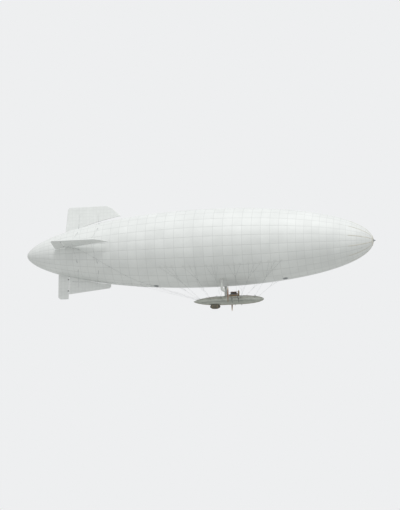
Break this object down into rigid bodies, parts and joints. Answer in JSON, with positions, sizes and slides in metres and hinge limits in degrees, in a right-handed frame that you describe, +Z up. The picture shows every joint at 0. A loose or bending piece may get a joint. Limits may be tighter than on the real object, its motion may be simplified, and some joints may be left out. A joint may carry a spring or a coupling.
{
  "type": "half-size non-rigid airship",
  "caption": "Half-size non-rigid airship: a long fabric gas bag with cross tail fins, and an open streamlined car hung below it on wires, with an engine and pusher propeller out on each side.",
  "frame": {"origin": "the gas bag's centre of lift, on its long axis", "axes": "+X towards the nose along the bag's axis, +Y to port, +Z up"},
  "size_m": [29.85, 7.9, 9.57],
  "materials": {
    "bag_fabric": "aluminium-doped cotton, satin",
    "fin_fabric": "aluminium-doped cotton on a frame, satin",
    "batten": "wooden battens under doped tape",
    "nose_metal": "cast, satin",
    "valve_metal": "spun sheet, satin",
    "wire": "stranded steel wire",
    "car_skin": "dull dark paint",
    "floor_wood": "bare plywood",
    "seat_leather": "worn",
    "screen_glass": "clear",
    "panel": "dark varnish",
    "wheel_metal": "bare",
    "bumper_canvas": "rubbered canvas, matte",
    "tube_metal": "dull paint",
    "engine_metal": "oily castings",
    "radiator_metal": "tarnished",
    "blade_wood": "varnished laminated wood",
    "duct_fabric": "aluminium-doped cotton"
  },
  "bodies": {
    "airship": {"air_duct_port": "duct_fabric", "air_duct_starboard": "duct_fabric", "air_valve_aft": "valve_metal", "air_valve_fore": "valve_metal", "bridle_port_1": "wire", "bridle_port_2": "wire", "bridle_port_3": "wire", "bridle_port_4": "wire", "bridle_port_5": "wire", "bridle_port_6": "wire", "bridle_starboard_1": "wire", "bridle_starboard_2": "wire", "bridle_starboard_3": "wire", "bridle_starboard_4": "wire", "bridle_starboard_5": "wire", "bridle_starboard_6": "wire", "bumper_bag": "bumper_canvas", "car_cowling_aft": "car_skin", "car_cowling_fore": "car_skin", "car_cowling_mid": "car_skin", "car_floor": "floor_wood", "car_hull": "car_skin", "elevator_wheel": "wheel_metal", "engine_port": "engine_metal", "engine_starboard": "engine_metal", "envelope": "bag_fabric", "fin_bottom": "fin_fabric", "fin_port": "fin_fabric", "fin_starboard": "fin_fabric", "fin_top": "fin_fabric", "gas_valve": "valve_metal", "instrument_board": "panel", "nose_battens": "batten", "nose_cone": "nose_metal", "outrigger_port": "tube_metal", "outrigger_starboard": "tube_metal", "radiator_port": "radiator_metal", "radiator_starboard": "radiator_metal", "rudder_wheel": "wheel_metal", "seat_aft": "seat_leather", "seat_fore_port": "seat_leather", "seat_fore_starboard": "seat_leather", "seat_mid_port": "seat_leather", "seat_mid_starboard": "seat_leather", "windscreen_aft": "screen_glass", "windscreen_fore": "screen_glass", "windscreen_mid": "screen_glass"},
    "rudder": {"rudder": "fin_fabric"},
    "elevator_starboard": {"elevator_starboard": "fin_fabric"},
    "elevator_port": {"elevator_port": "fin_fabric"},
    "propeller_port": {"propeller_port": "blade_wood"},
    "propeller_starboard": {"propeller_starboard": "blade_wood"}
  },
  "joints": [
    {"name": "rudder_swing", "type": "hinge", "parent": "airship", "child": "rudder", "pos_m": [-12.1, 0, -2.9], "axis": [0, 0, 1], "range_deg": [-30, 30]},
    {"name": "elevator_starboard_swing", "type": "hinge", "parent": "airship", "child": "elevator_starboard", "pos_m": [-12.1, -2.9, 0], "axis": [0, 1, 0], "range_deg": [-25, 25]},
    {"name": "elevator_port_swing", "type": "hinge", "parent": "airship", "child": "elevator_port", "pos_m": [-12.1, 2.9, 0], "axis": [0, 1, 0], "range_deg": [-25, 25]},
    {"name": "propeller_port_spin", "type": "hinge", "parent": "airship", "child": "propeller_port", "pos_m": [1.78, 1.225, -4.575], "axis": [1, 0, 0], "continuous": true},
    {"name": "propeller_starboard_spin", "type": "hinge", "parent": "airship", "child": "propeller_starboard", "pos_m": [1.78, -1.225, -4.575], "axis": [1, 0, 0], "continuous": true}
  ],
  "couplings": [
    {"joint": "elevator_port_swing", "follows": "elevator_starboard_swing", "ratio": 1}
  ]
}
